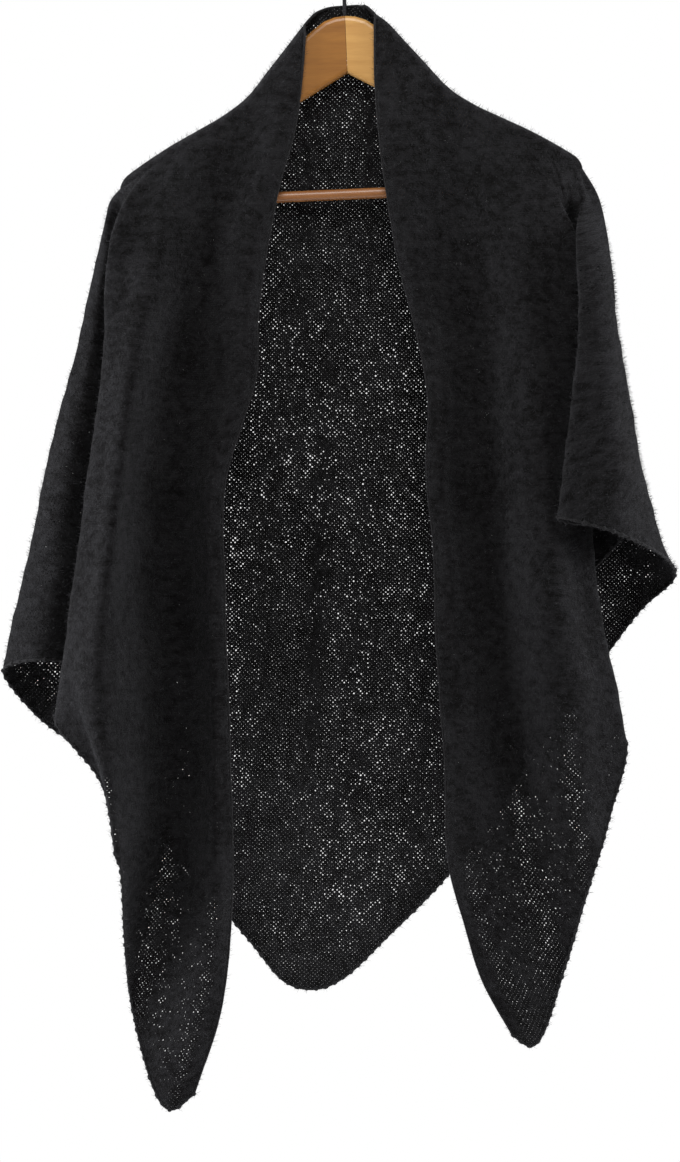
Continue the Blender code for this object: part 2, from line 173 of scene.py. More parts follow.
LEFT_FRONT = (
    Fold("opening edge", -39, 0, 2, (
        At(-118, -39, -10), At(-165, -45, -12), At(-234, -63, -17), At(-352, -82, -30),
        At(-417, -85, -36), At(-465, -100, -40), At(-500, -111, -42), At(-620, -114, -48),
        At(-775, -109, -52), At(-935, -108, -56), At(-1021, -117, -56), At(-1104, -143, -54))),
    Fold("edge roll", -52, 0, 4, (
        At(-165, -60, -17), At(-234, -79, -25), At(-352, -98, -40), At(-417, -102, -46),
        At(-500, -127, -52), At(-620, -130, -58), At(-775, -125, -62), At(-935, -124, -66),
        At(-1021, -136, -64), At(-1119, -167, -56))),
    Fold("front valley", -100, 0, 5, (
        At(-234, -115, -14), At(-352, -140, -18), At(-465, -152, -20), At(-575, -156, -20),
        At(-700, -158, -22), At(-850, -170, -28), At(-940, -188, -36), At(-1015, -204, -42))),
    Fold("front column", -155, 0, 3, (
        At(-234, -167, -22), At(-352, -190, -52), At(-465, -205, -74), At(-575, -218, -88),
        At(-700, -230, -96), At(-800, -223, -93), At(-885, -214, -86))),
    Fold("column side", -175, 2, 4, (
        At(-240, -188, -20), At(-352, -212, -46), At(-465, -224, -62), At(-575, -238, -74),
        At(-700, -254, -82), At(-805, -230, -82))),
    Fold("front fold", -190, 4, 3, (
        At(-240, -207, -19), At(-270, -220, -27), At(-300, -225, -31), At(-400, -230, -40),
        At(-500, -242, -48), At(-620, -258, -55), At(-700, -269, -60), At(-740, -275, -60))),
    Fold("hidden front", -196, 14, 3, (
        At(-240, -207, -16), At(-270, -212, -19), At(-300, -213, -21), At(-400, -212, -26),
        At(-500, -215, -30), At(-722, -222, -36))),
    Fold("hidden fold front", -200, 24, 3, (
        At(-240, -209, -14), At(-270, -208, -15), At(-300, -202, -16), At(-400, -188, -18),
        At(-500, -178, -18), At(-706, -176, -16))),
    Fold("hidden fold back", -203, 34, 3, (
        At(-240, -211, -12), At(-270, -209, -6), At(-300, -202, -4), At(-400, -187, -4),
        At(-500, -177, -4), At(-701, -176, -2))),
    Fold("hidden back", -207, 48, 3, (
        At(-240, -214, -10), At(-270, -215, -2), At(-300, -213, 0), At(-400, -217, 0),
        At(-500, -225, -3), At(-692, -240, -8))),
    Fold("outer column", -211, 66, 3, (
        At(-240, -219, -6), At(-300, -230, -11), At(-400, -247, -18), At(-500, -263, -24),
        At(-600, -279, -28), At(-686, -291, -29))),
)

RIGHT_SIDE = Fold("right side", 214, 270, 3, (
    At(-235, 246, 0), At(-265, 254, 0), At(-312, 261, 0), At(-382, 269, 0), At(-424, 277, 0),
    At(-492, 289, 0), At(-542, 300, 0), At(-589, 314, 1), At(-605, 322, 2)))

RIGHT_FRONT = (
    RIGHT_SIDE,
    Fold("outer column", 211, 286, 4, (
        At(-240, 238, -7), At(-270, 245, -24), At(-300, 251, -42), At(-350, 257, -58),
        At(-450, 263, -72), At(-565, 266, -86))),
    Fold("outer fold front", 208, 304, 3, (
        At(-240, 234, -11), At(-270, 228, -35), At(-300, 228, -51), At(-350, 230, -63),
        At(-450, 221, -75), At(-549, 209, -81))),
    Fold("outer fold back", 205, 318, 3, (
        At(-240, 231, -11), At(-270, 231, -27), At(-300, 232, -38), At(-350, 234, -51),
        At(-450, 226, -62), At(-553, 216, -67))),
    Fold("outer lining", 202, 328, 3, (
        At(-240, 227, -12), At(-270, 235, -19), At(-300, 243, -27), At(-350, 253, -36),
        At(-450, 262, -44), At(-560, 275, -47))),
    Fold("outer hidden fold", 199, 336, 3, (
        At(-240, 223, -13), At(-270, 232, -8), At(-300, 241, -10), At(-350, 251, -12),
        At(-450, 262, -13), At(-567, 273, -12))),
    Fold("hidden back", 195, 342, 3, (
        At(-240, 218, -14), At(-270, 216, -2), At(-300, 214, 0), At(-450, 208, 0),
        At(-640, 203, 0))),
    Fold("hidden fold back", 192, 346, 3, (
        At(-240, 215, -16), At(-270, 208, -7), At(-300, 198, -5), At(-350, 186, -6),
        At(-450, 170, -7), At(-540, 158, -7), At(-698, 150, -7))),
    Fold("hidden fold front", 189, 350, 3, (
        At(-240, 213, -17), At(-270, 207, -17), At(-300, 198, -18), At(-350, 186, -19),
        At(-450, 170, -20), At(-540, 158, -20), At(-705, 150, -20))),
    Fold("hidden front", 186, 354, 3, (
        At(-240, 210, -19), At(-270, 212, -21), At(-300, 213, -22), At(-350, 211, -23),
        At(-450, 207, -24), At(-728, 201, -24))),
    Fold("front fold", 181, 356, 4, (
        At(-240, 208, -21), At(-270, 223, -27), At(-300, 229, -31), At(-350, 232, -33),
        At(-450, 240, -34), At(-583, 241, -34), At(-644, 248, -34), At(-707, 262, -32),
        At(-758, 271, -30))),
    Fold("column side", 165, 358, 3, (
        At(-240, 186, -22), At(-350, 208, -40), At(-450, 216, -46), At(-590, 222, -48),
        At(-700, 240, -46), At(-838, 257, -44))),
    Fold("front column", 145, 360, 4, (
        At(-221, 160, -21), At(-308, 172, -36), At(-434, 186, -52), At(-590, 200, -63),
        At(-750, 217, -66), At(-902, 238, -60))),
    Fold("front valley", 90, 360, 4, (
        At(-221, 104, -14), At(-308, 120, -20), At(-434, 138, -27), At(-590, 148, -32),
        At(-783, 162, -38), At(-895, 182, -44), At(-985, 214, -48))),
    Fold("edge roll", 43, 360, 2, (
        At(-132, 49, -16), At(-221, 58, -23), At(-308, 72, -32), At(-434, 100, -46),
        At(-502, 97, -50), At(-590, 105, -54), At(-783, 116, -60), At(-895, 122, -62),
        At(-960, 140, -60), At(-1058, 184, -53))),
    Fold("opening edge", 29, 360, 0, (
        At(-132, 33, -11), At(-221, 42, -16), At(-308, 57, -24), At(-380, 75, -32),
        At(-434, 84, -38), At(-502, 82, -42), At(-590, 90, -46), At(-648, 91, -48),
        At(-783, 100, -52), At(-895, 106, -54), At(-937, 118, -55), At(-995, 136, -54),
        At(-1048, 165, -52))),
)

# The neck's free lines start from a place of their own, not from the crest
BACK = (
    LEFT_SIDE,
    Fold("left turn", -206, 132, 4, (
        At(-240, -214, 10), At(-300, -224, 12), At(-450, -257, 15), At(-600, -286, 18),
        At(-738, -299, 20))),
    Fold("left shoulder", -175, 180, 4, (
        At(-300, -190, 14), At(-450, -208, 21), At(-600, -226, 27), At(-782, -245, 30))),
    Fold("left back", -100, 180, 3, (
        At(-300, -108, 11), At(-450, -118, 15), At(-600, -128, 18), At(-750, -139, 20),
        At(-887, -150, 20))),
    Fold("left neck", -39, 180, 3, (
        At(-200, -44, 10), At(-300, -49, 13), At(-450, -58, 19), At(-600, -66, 25),
        At(-800, -77, 29), At(-962, -88, 27))),
    Fold("left of neck", At(-57, -19, 8), 180, 2, (
        At(-200, -24, 14), At(-450, -34, 20), At(-700, -44, 26), At(-1001, -54, 26))),
    Fold("centre", At(-52, 5, 11), 180, 2, (
        At(-200, 0, 15), At(-450, -8, 18), At(-700, -16, 22), At(-1007, -26, 24))),
    Fold("right of neck", At(-53, 19, 9), 180, 3, (
        At(-200, 22, 14), At(-450, 18, 19), At(-700, 10, 25), At(-997, 0, 26))),
    Fold("right neck", 29, 180, 3, (
        At(-200, 38, 10), At(-300, 42, 13), At(-450, 45, 19), At(-600, 46, 25),
        At(-800, 46, 29), At(-954, 46, 28))),
    Fold("right back", 100, 180, 4, (
        At(-300, 108, 11), At(-450, 108, 15), At(-600, 107, 18), At(-750, 106, 20),
        At(-893, 105, 20))),
    Fold("right shoulder", 175, 180, 4, (
        At(-300, 192, 14), At(-450, 194, 21), At(-600, 193, 26), At(-777, 190, 28))),
    Fold("right turn", 206, 228, 5, (
        At(-235, 238, 10), At(-300, 250, 12), At(-450, 268, 15), At(-540, 281, 18),
        At(-640, 288, 20))),
)

# %% [markdown]
# ## Points of the sheet
# A point of the cloth is found in two steps. Down each fold line a smooth curve goes through
# the tabled places. Then, level by level, a smooth curve goes across from line to line. Over
# the arm the rows turn through the quarter of an oval first. It is the CAD part's own method
# with more rows and columns.

# %% Points from the folds
def hermite(knots, values, at):
    """Values on a smooth curve through the knots, with a slope at each knot from its neighbours."""
    knots = np.asarray(knots, float)
    values = np.asarray(values, float)
    steps = np.diff(knots)
    rises = np.diff(values, axis=0) / steps[:, None]
    slopes = np.empty_like(values)
    slopes[0], slopes[-1] = rises[0], rises[-1]
    near, far = steps[:-1, None], steps[1:, None]
    slopes[1:-1] = (rises[:-1] * far + rises[1:] * near) / (near + far)
    span = np.clip(np.searchsorted(knots, at) - 1, 0, len(knots) - 2)
    t = ((at - knots[span]) / steps[span])[:, None]
    length = steps[span][:, None]
    return ((2 * t**3 - 3 * t**2 + 1) * values[span]
            + (t**3 - 2 * t**2 + t) * length * slopes[span]
            + (3 * t**2 - 2 * t**3) * values[span + 1]
            + (t**3 - t**2) * length * slopes[span + 1])


def crest_place(out):
    """The cloth's inner side on top of the arm, this far out from the hanger's centre."""
    table = np.array(CREST)
    drop = hermite(table[:, 0], table[:, 1:], np.array([abs(out)]))[0, 0]
    return np.array((out * cos(ROLL) - drop * sin(ROLL), 0.0, out * sin(-ROLL) - drop * cos(ROLL)))


def heading(way):
    """The level direction in which the cloth leaves the crest."""
    return np.array((-sin(radians(way)), -cos(radians(way)), 0.0))


def crest_tops(folds):
    """Each column's place on the crest or the neck's free edge, and how it leaves it."""
    places, ways = [], []
    ends = np.array([crest_place(f.crest) if not isinstance(f.crest, At)
                     else (f.crest.x, f.crest.y, f.crest.z) for f in folds])
    for here, (fold, following) in enumerate(zip(folds, folds[1:])):
        free = isinstance(fold.crest, At) or isinstance(following.crest, At)
        for share in np.linspace(0, 1, fold.columns, endpoint=False):
            way = heading(fold.way + share * (following.way - fold.way))
            if free:
                places.append(hermite(range(len(folds)), ends, np.array([here + share]))[0])
            else:
                out = fold.crest + share * (following.crest - fold.crest)
                places.append(crest_place(out))
                # Where the cloth leaves sideways, it falls as steeply as the crest does
                fall = crest_place(out * 1.01) - places[-1]
                way[2] = abs(way[0]) * fall[2] / abs(fall[0])
            ways.append(way)
    return np.array(places + [ends[-1]]), np.array(ways + [heading(folds[-1].way)])


def hang_line(fold, start):
    """The points of one fold line, from below the crest to the hem."""
    heights = np.array([start[2]] + [place.z for place in fold.places])
    spots = np.array([start[:2]] + [(place.x, place.y) for place in fold.places])
    levels = np.linspace(heights[0], heights[-1], HANG_ROWS + 1)
    return np.column_stack([hermite(-heights, spots, -levels), levels])


def across(folds, keys):
    """One row of points: a smooth curve through a point of each fold line."""
    spread = np.sqrt(np.linalg.norm(np.diff(keys, axis=0), axis=1))
    knots = np.concatenate([[0], np.cumsum(spread)])
    at = [np.linspace(knots[i], knots[i + 1], fold.columns, endpoint=False)
          for i, fold in enumerate(folds[:-1])]
    return hermite(knots, keys, np.concatenate(at + [knots[-1:]]))


def sheet_points(folds):
    """Rows of points across a run of folds, over the crest and then down to the hem."""
    tops, ways = crest_tops(folds)
    swell = np.clip(1 - NECK_TUCK * tops[:, 1:2] / CREST_HALF, 0, 1)
    down = np.array((0.0, 0.0, CREST_DROP))
    over = np.array([tops + CREST_HALF * sin(t) * swell * ways - down * (1 - cos(t))
                     for t in np.linspace(0, pi / 2, CREST_ROWS + 1)])
    lines = np.array([hang_line(fold, over[-1, column])
                      for fold, column in zip(folds, columns_of(folds))])
    hang = np.array([across(folds, lines[:, row]) for row in range(HANG_ROWS + 1)])
    # What lies between the turn's last row and the first curve across fades out below it
    fade = np.linspace(1, 0, HANG_ROWS + 1)[:, None, None] ** 2
    hang += (over[-1] - hang[0]) * fade
    return np.concatenate([over, hang[1:]])


def columns_of(folds):
    """The first column of each fold line in a run."""
    return np.concatenate([[0], np.cumsum([fold.columns for fold in folds[:-1]])]).astype(int)


run = [fold._replace(columns=round(fold.columns * FINER))
       for fold in LEFT_FRONT + BACK + RIGHT_FRONT]
first = columns_of(run)
left_side, right_side = first[len(LEFT_FRONT)], first[len(LEFT_FRONT) + len(BACK)]
inner = sheet_points(run) * MM
print("sheet of", inner.shape[0], "rows and", inner.shape[1], "columns")

# %% [markdown]
# ## A pattern space for the knit
# The scarf is one triangle. Its long edge becomes the two opening edges, so the columns of
# stitches that run down the back lie level on the fronts. The pattern's coordinates are measured
# along the cloth: on the fronts from the opening edge inwards, on the back from its middle.

# %% Flat coordinates
TOP_LEVEL = -0.05
LEVELS = np.linspace(-1.13, TOP_LEVEL, 240)


def level_lengths(points):
    """How far along the cloth each column is at each level, measured from the first column."""
    spots = np.empty((points.shape[1], len(LEVELS), 2))
    for column in range(points.shape[1]):
        line = points[::-1, column]
        for axis in (0, 1):
            spots[column, :, axis] = np.interp(LEVELS, line[:, 2], line[:, axis])
    steps = np.linalg.norm(np.diff(spots, axis=0), axis=2)
    return np.concatenate([np.zeros((1, len(LEVELS))), np.cumsum(steps, axis=0)])


def flat_across(points, lengths, start):
    """Each point's distance across the cloth from the start column, at the point's own level."""
    lengths = lengths - lengths[start]
    return np.stack([np.interp(points[:, column, 2], LEVELS, lengths[column])
                     for column in range(points.shape[1])], axis=1)


lengths = level_lengths(inner)
depth = TOP_LEVEL - inner[..., 2]
middle = (left_side + right_side) // 2
from_left = flat_across(inner, lengths, 0)
from_middle = flat_across(inner, lengths, middle)
from_right = -flat_across(inner, lengths, -1)
from_opening = np.minimum(from_left, from_right)
flat_left = np.stack([-depth, from_left], axis=-1)
flat_back = np.stack([from_middle, depth], axis=-1)
flat_right = np.stack([depth, from_right], axis=-1)
print("back is", round(float(from_middle.max() - from_middle.min()), 2), "m across")

# %% [markdown]
# ## Where the knit is open
# The hem and the opening edges are dense, and so is the whole upper part of the fronts, where
# the nap was brushed most. Below the elbows the fronts open up again. The nap also lies thick
# in patches. What comes out is one number for each point of the sheet, its `openness`, by
# which the knit material scales its gaps. Lengths are in metres, apart from the patches.

# %% Openness
# The hem runs aslant, so it is nearer than the way down to it
HEM_SLANT = 0.75
EDGE_CLOSED = 0.007
EDGE_FADE = 0.020
FRONT_ACROSS = 0.30
FRONT_CLOSED_TO = -0.66
FRONT_FADE = 0.20
FRONT_LEAST = 0.08
FRONT_MOST = 0.72

# Where the nap is thick and closes the gaps: middle across and high, reach across and high,
# in millimetres, and how much of the gaps it closes
Thick = namedtuple("Thick", "x z wide high share")
THICK_NAP = (
    Thick(-55, -700, 42, 130, 0.80), Thick(-78, -880, 36, 80, 0.85), Thick(-21, -965, 60, 36, 0.6),
    Thick(255, -575, 50, 36, 1.0), Thick(0, -250, 90, 130, 0.7), Thick(2, -58, 60, 16, 1.0),
    Thick(170, -980, 40, 40, 0.4), Thick(110, -820, 30, 60, 0.6), Thick(260, -700, 26, 60, 0.6),
    Thick(58, -660, 34, 190, 0.35),
)
steps_down = np.linalg.norm(np.diff(inner, axis=0), axis=2)
to_hem = np.zeros(inner.shape[:2])
to_hem[:-1] = np.cumsum(steps_down[::-1], axis=0)[::-1]
border = np.minimum(to_hem * HEM_SLANT, from_opening)
openness = np.clip((border - EDGE_CLOSED) / EDGE_FADE, 0, 1)
for thick in THICK_NAP:
    reach = (((inner[..., 0] / MM - thick.x) / thick.wide) ** 2
             + ((inner[..., 2] / MM - thick.z) / thick.high) ** 2)
    openness *= 1 - thick.share * np.exp(-reach)
front_share = np.clip((FRONT_CLOSED_TO - inner[..., 2]) / FRONT_FADE, FRONT_LEAST, FRONT_MOST)
openness *= np.where(from_opening < FRONT_ACROSS, front_share, 1)

# %% [markdown]
# ## Soft creases
# Knit as light as this never hangs in even tubes. On top of the main folds it has shallow,
# uneven troughs and ridges. Each is drawn as a line seen from the front or the back,
# with its own depth and width, and fades towards its ends and at the opening edges, which keep
# the outline of the CAD part. A slow waver, a few sines of unequal lengths, does the rest.

# %% Creases on the sheet
WAVER = 0.45
OPENING_FADE = 0.030
BELOW_CREST = 0.03
CREST_FADE = 0.12


def unit(vectors):
    """The same directions as vectors of length one."""
    return vectors / np.maximum(np.linalg.norm(vectors, axis=-1, keepdims=True), 1e-12)


def outward(points):
    """The direction that points out of the cloth at each point."""
    return unit(np.cross(np.gradient(points, axis=1), np.gradient(points, axis=0)))


# A soft trough (or a ridge, where its depth is below zero): the first and last fold line of the
# layer it is on, its depth and half width, and its points in the front view (across, height)
Crease = namedtuple("Crease", "start end depth width line")
FRONT_LEFT = (0, 5)
SIDE_LEFT = (9, 12)
BACK_ALL = (11, 23)
SIDE_RIGHT = (22, 25)
FRONT_RIGHT = (33, 38)
CREASES = (
    Crease(*FRONT_LEFT, 3.0, 17, ((-118, -180), (-140, -300), (-162, -470))),
    Crease(*FRONT_LEFT, -2.6, 14, ((-172, -235), (-206, -450), (-226, -660))),
    Crease(*FRONT_LEFT, 2.2, 11, ((-90, -270), (-112, -400), (-118, -520))),
    Crease(*FRONT_LEFT, 3.2, 19, ((-182, -500), (-170, -640), (-165, -800))),
    Crease(*FRONT_LEFT, -2.2, 15, ((-214, -770), (-195, -860), (-172, -960))),
    Crease(*FRONT_LEFT, 2.6, 12, ((-246, -560), (-252, -640), (-262, -712))),
    Crease(*FRONT_LEFT, 1.8, 10, ((-140, -760), (-146, -880), (-150, -990))),
    Crease(*FRONT_LEFT, 2.0, 13, ((-62, -110), (-74, -170), (-100, -240))),
    Crease(*FRONT_LEFT, 13.0, 20, ((-104, -400), (-130, -540), (-132, -700), (-128, -900))),
    Crease(*FRONT_LEFT, 16.0, 24, ((-158, -300), (-184, -460), (-192, -620), (-192, -800))),
    Crease(*SIDE_LEFT, 3.2, 14, ((-232, -300), (-252, -380), (-276, -470))),
    Crease(*SIDE_LEFT, -2.6, 16, ((-246, -430), (-270, -510), (-304, -600))),
    Crease(*SIDE_LEFT, 3.0, 13, ((-258, -540), (-284, -600), (-312, -650))),
    Crease(*FRONT_RIGHT, 2.6, 14, ((54, -160), (96, -290), (124, -450))),
    Crease(*FRONT_RIGHT, 9.0, 24, ((66, -220), (96, -400), (106, -560), (116, -760))),
    Crease(*FRONT_RIGHT, -6.0, 24, ((150, -280), (172, -440), (184, -600), (196, -740))),
    Crease(*FRONT_RIGHT, 3.4, 18, ((124, -215), (172, -420), (196, -660))),
    Crease(*FRONT_RIGHT, -2.2, 14, ((150, -200), (196, -260), (226, -350))),
    Crease(*FRONT_RIGHT, -2.8, 15, ((205, -580), (226, -680), (250, -790))),
    Crease(*FRONT_RIGHT, 2.2, 12, ((104, -580), (112, -700), (124, -830))),
    Crease(*FRONT_RIGHT, 2.8, 17, ((150, -720), (178, -820), (206, -930))),
    Crease(*FRONT_RIGHT, 1.8, 12, ((92, -500), (140, -560), (190, -590))),
    Crease(*SIDE_RIGHT, 3.0, 13, ((250, -285), (266, -360), (288, -460))),
    Crease(*SIDE_RIGHT, -2.6, 14, ((240, -330), (250, -420), (262, -520))),
    Crease(*SIDE_RIGHT, 2.4, 12, ((262, -400), (282, -480), (306, -560))),
    Crease(*BACK_ALL, 3.4, 20, ((-186, -240), (-206, -420), (-232, -640))),
    Crease(*BACK_ALL, -3.0, 18, ((-130, -260), (-152, -500), (-160, -760))),
    Crease(*BACK_ALL, 4.0, 24, ((-66, -200), (-84, -520), (-96, -860))),
    Crease(*BACK_ALL, -2.4, 16, ((-22, -300), (-34, -600), (-46, -900))),
    Crease(*BACK_ALL, 3.2, 22, ((16, -160), (10, -480), (-8, -880))),
    Crease(*BACK_ALL, -3.2, 20, ((74, -280), (84, -560), (70, -860))),
    Crease(*BACK_ALL, 3.8, 21, ((136, -260), (152, -480), (146, -780))),
    Crease(*BACK_ALL, -2.4, 17, ((208, -280), (232, -460), (244, -640))),
    Crease(*BACK_ALL, 2.4, 13, ((226, -240), (252, -330), (268, -430))),
)


def crease_shift(points, crease):
    """How far the crease moves each point inwards, in millimetres."""
    line = np.array(crease.line, float)
    spots = points[..., [0, 2]] / MM
    lengths = np.linalg.norm(np.diff(line, axis=0), axis=1)
    ends = np.concatenate([[0], np.cumsum(lengths)])
    best = np.full(spots.shape[:2], 1e9)
    where = np.zeros(spots.shape[:2])
    for begin, finish, start, length in zip(line, line[1:], ends, lengths):
        t = np.clip(((spots - begin) @ (finish - begin)) / length**2, 0, 1)
        gap = np.linalg.norm(spots - begin - t[..., None] * (finish - begin), axis=-1)
        closer = gap < best
        best = np.where(closer, gap, best)
        where = np.where(closer, (start + t * length) / ends[-1], where)
    widening = crease.width * (0.75 + 0.5 * where)
    along = np.sin(pi * np.clip(where, 0.02, 0.98))
    return crease.depth * np.exp(-(best / widening) ** 2) * along


def layer_mask(start, end, fade=5):
    """One on the columns between two fold lines, fading towards them but not at an open edge."""
    column = np.arange(inner.shape[1])
    rise = 1 if start == 0 else np.clip((column - first[start]) / fade, 0, 1)
    fall = 1 if end == len(run) - 1 else np.clip((first[end] - column) / fade, 0, 1)
    return rise * fall * np.ones(len(column))


shift = sum(crease_shift(inner, crease) * layer_mask(crease.start, crease.end)
            for crease in CREASES)
waver = (np.sin(31 * inner[..., 2] + 17 * from_left + 1.3) * np.sin(23 * from_left + 0.4)
         + 0.7 * np.sin(57 * inner[..., 2] - 29 * from_left + 2.1)
         + 0.9 * np.sin(171 * inner[..., 2] - 67 * from_left + 0.9)
         * np.sin(83 * inner[..., 2] + 41 * from_left))
free = np.clip((-BELOW_CREST - inner[..., 2] + inner[:1, :, 2]) / CREST_FADE, 0, 1)
inside = np.clip(from_opening / OPENING_FADE, 0, 1)
outwards = WALL / 2 - (shift * inside + WAVER * waver) * free
places = inner + outward(inner) * (outwards[..., None] * MM)
print("creases", len(CREASES), "deepest", round(float(shift.max()), 1), "mm")

# %% Build the sheet
# The knit alone is thinner than the CAD part's wall, which stands for knit and nap together
THICK = 1.1


def net(name, grid):
    """An object with a mesh of four-sided faces over rows and columns of points."""
    rows, columns = grid.shape[:2]
    number = np.arange(rows * columns).reshape(rows, columns)
    faces = np.stack([number[:-1, :-1], number[:-1, 1:], number[1:, 1:], number[1:, :-1]], axis=-1)
    mesh = bpy.data.meshes.new(name)
    mesh.from_pydata(grid.reshape(-1, 3).tolist(), [], faces.reshape(-1, 4).tolist())
    return put_in_scene(name, mesh)


def knit_sheet(name, grid):
    """The net over the points, with the flat coordinates as its UV map and its openness."""
    made = net(name, grid)
    mesh = made.data
    rows, columns = grid.shape[:2]
    layer = mesh.uv_layers.new(name="flat")
    uv = np.empty((rows - 1, columns - 1, 4, 2))
    for column in range(columns - 1):
        if column < left_side:
            flat = flat_left
        elif column < right_side:
            flat = flat_back
        else:
            flat = flat_right
        uv[:, column, 0] = flat[:-1, column]
        uv[:, column, 1] = flat[:-1, column + 1]
        uv[:, column, 2] = flat[1:, column + 1]
        uv[:, column, 3] = flat[1:, column]
    layer.data.foreach_set("uv", uv.reshape(-1))
    gaps = mesh.attributes.new("openness", "FLOAT", "POINT")
    gaps.data.foreach_set("value", openness.reshape(-1))
    mesh.shade_smooth()
    return made


scarf = knit_sheet("scarf", places)
print("scarf faces", len(scarf.data.polygons))

# %% [markdown]
# ## Knit material
# The knit is drawn in the pattern's own coordinates. Stitches of one wale by one course stand in
# columns that meander a little, each half a stitch off its neighbours. A fine nap and a coarser
# lay of the brushed hairs cover them, so the stitches are felt more than seen.

# %% Node helper
class Tree:
    """Adds nodes to a material's tree with few words."""

    def __init__(self, name):
        self.material = bpy.data.materials.new(name)
        self.material.use_nodes = True
        self.tree = self.material.node_tree
        self.shader = self.tree.nodes["Principled BSDF"]

    def put(self, kind, *inputs, **settings):
        """A node of this kind. Inputs are sockets or values, in the order of its sockets."""
        node = self.tree.nodes.new("ShaderNode" + kind)
        for key, value in settings.items():
            setattr(node, key, value)
        for number, value in enumerate(inputs):
            if value is not None:
                self.join(value, node.inputs[number])
        return node

    def join(self, value, socket):
        """Links another node's output to the socket, or sets the socket's own value."""
        if hasattr(value, "is_linked"):
            self.tree.links.new(value, socket)
        else:
            socket.default_value = value

    def math(self, operation, *values):
        """The result of one operation on one or two values."""
        return self.put("Math", *values, operation=operation).outputs[0]

    def blend(self, *shares):
        """The sum of some values, each times its share."""
        parts = [self.math("MULTIPLY", value, share) for value, share in shares]
        total = parts[0]
        for part in parts[1:]:
            total = self.math("ADD", total, part)
        return total

    def stretched(self, where, scale, turn=(0, 0, 0)):
        """Coordinates turned and stretched, for noise that is longer one way."""
        node = self.put("Mapping", where)
        node.inputs["Rotation"].default_value = turn
        node.inputs["Scale"].default_value = scale
        return node.outputs[0]

    def noise(self, where, scale, detail=3.0, rough=0.5):
        """Smooth noise between nought and one, at these coordinates."""
        node = self.put("TexNoise")
        self.join(where, node.inputs["Vector"])
        node.inputs["Scale"].default_value = scale
        node.inputs["Detail"].default_value = detail
        node.inputs["Roughness"].default_value = rough
        return node.outputs["Fac"]

    def span(self, value, low, high, to_low=0.0, to_high=1.0):
        """The value carried over from one range to another, and kept inside it."""
        return self.put("MapRange", value, low, high, to_low, to_high).outputs[0]

    def ramp(self, value, *stops):
        """A colour that goes from stop to stop as the value rises."""
        node = self.put("ValToRGB", value)
        while len(node.color_ramp.elements) < len(stops):
            node.color_ramp.elements.new(0.5)
        for element, (place, colour) in zip(node.color_ramp.elements, stops):
            element.position, element.color = place, (*colour, 1)
        return node.outputs[0]

    def bump(self, height, strength, distance):
        """Raises the surface by the height, in the shading only."""
        node = self.put("Bump")
        self.join(height, node.inputs["Height"])
        node.inputs["Strength"].default_value = strength
        node.inputs["Distance"].default_value = distance
        self.join(node.outputs[0], self.shader.inputs["Normal"])

    def colour(self, value, *stops):
        """Colours the surface by a ramp over the value."""
        self.join(self.ramp(value, *stops), self.shader.inputs["Base Color"])

    def wool(self, sheen, sheen_roughness):
        """The dull surface of wool, with a faint bloom where it turns away."""
        for name, value in (("Roughness", 1.0), ("Specular IOR Level", 0.08),
                            ("Sheen Weight", sheen), ("Sheen Roughness", sheen_roughness)):
            self.shader.inputs[name].default_value = value


# %% Knit
WALE = 0.0021
COURSE = 0.0042
MEANDER = 0.004
DARK_WOOL = (0.0036, 0.0033, 0.0033)
LIT_WOOL = (0.0153, 0.0151, 0.0160)

knit = Tree("charcoal mohair")
flat = knit.put("UVMap", uv_map="flat").outputs[0]
open_share = knit.put("Attribute", attribute_name="openness").outputs["Fac"]
meander = knit.noise(flat, 60, 2.0, 0.5)
split = knit.put("SeparateXYZ", flat)
bent = knit.math("ADD", split.outputs[0], knit.math("MULTIPLY", meander, MEANDER))
wale = knit.math("DIVIDE", bent, WALE)
column = knit.math("FLOOR", wale)
stagger = knit.math("MULTIPLY", knit.math("MODULO", column, 2.0), 0.5)
course = knit.math("ADD", knit.math("DIVIDE", split.outputs[1], COURSE), stagger)
side = knit.math("PINGPONG", wale, 0.5)
ridge = knit.span(side, 0.0, 0.5)
stitch = knit.math("PINGPONG", knit.math("ADD", course, side), 0.5)
body = knit.math("MULTIPLY", ridge, knit.span(stitch, 0.0, 0.5, 0.5, 1.0))
nap = knit.noise(flat, 330, 6.0, 0.75)
lay = knit.noise(knit.stretched(flat, (1.0, 0.7, 1.0)), 130, 4.0, 0.7)
cloud = knit.noise(flat, 16, 4.0, 0.6)
knit.bump(knit.blend((body, 0.25), (nap, 2.4), (lay, 3.2)), 0.8, 0.0016)
shade = knit.blend((nap, 0.25), (lay, 0.5), (cloud, 0.25))
knit.colour(shade, (0.43, DARK_WOOL), (0.57, LIT_WOOL))
knit.wool(0.05, 0.4)
knit.shader.inputs["Sheen Tint"].default_value = (0.92, 0.94, 1.0, 1)

# %% [markdown]
# The knit is thin enough to see through between its stitches. The gaps lie in a staggered
# lattice, each with its own size, and more of them are open where the brushing has left the
# nap thin. The borders are bound off more tightly, so the gaps close towards the edges.

# %% Gaps between the stitches
GAP_WIDE = 0.34
GAP_LONG = 0.17
GAP_NUDGE = 0.3
GAP_GROWTH = 2.3
FEW_ARE_OPEN = 3.4
SOFT_RIM = 0.12

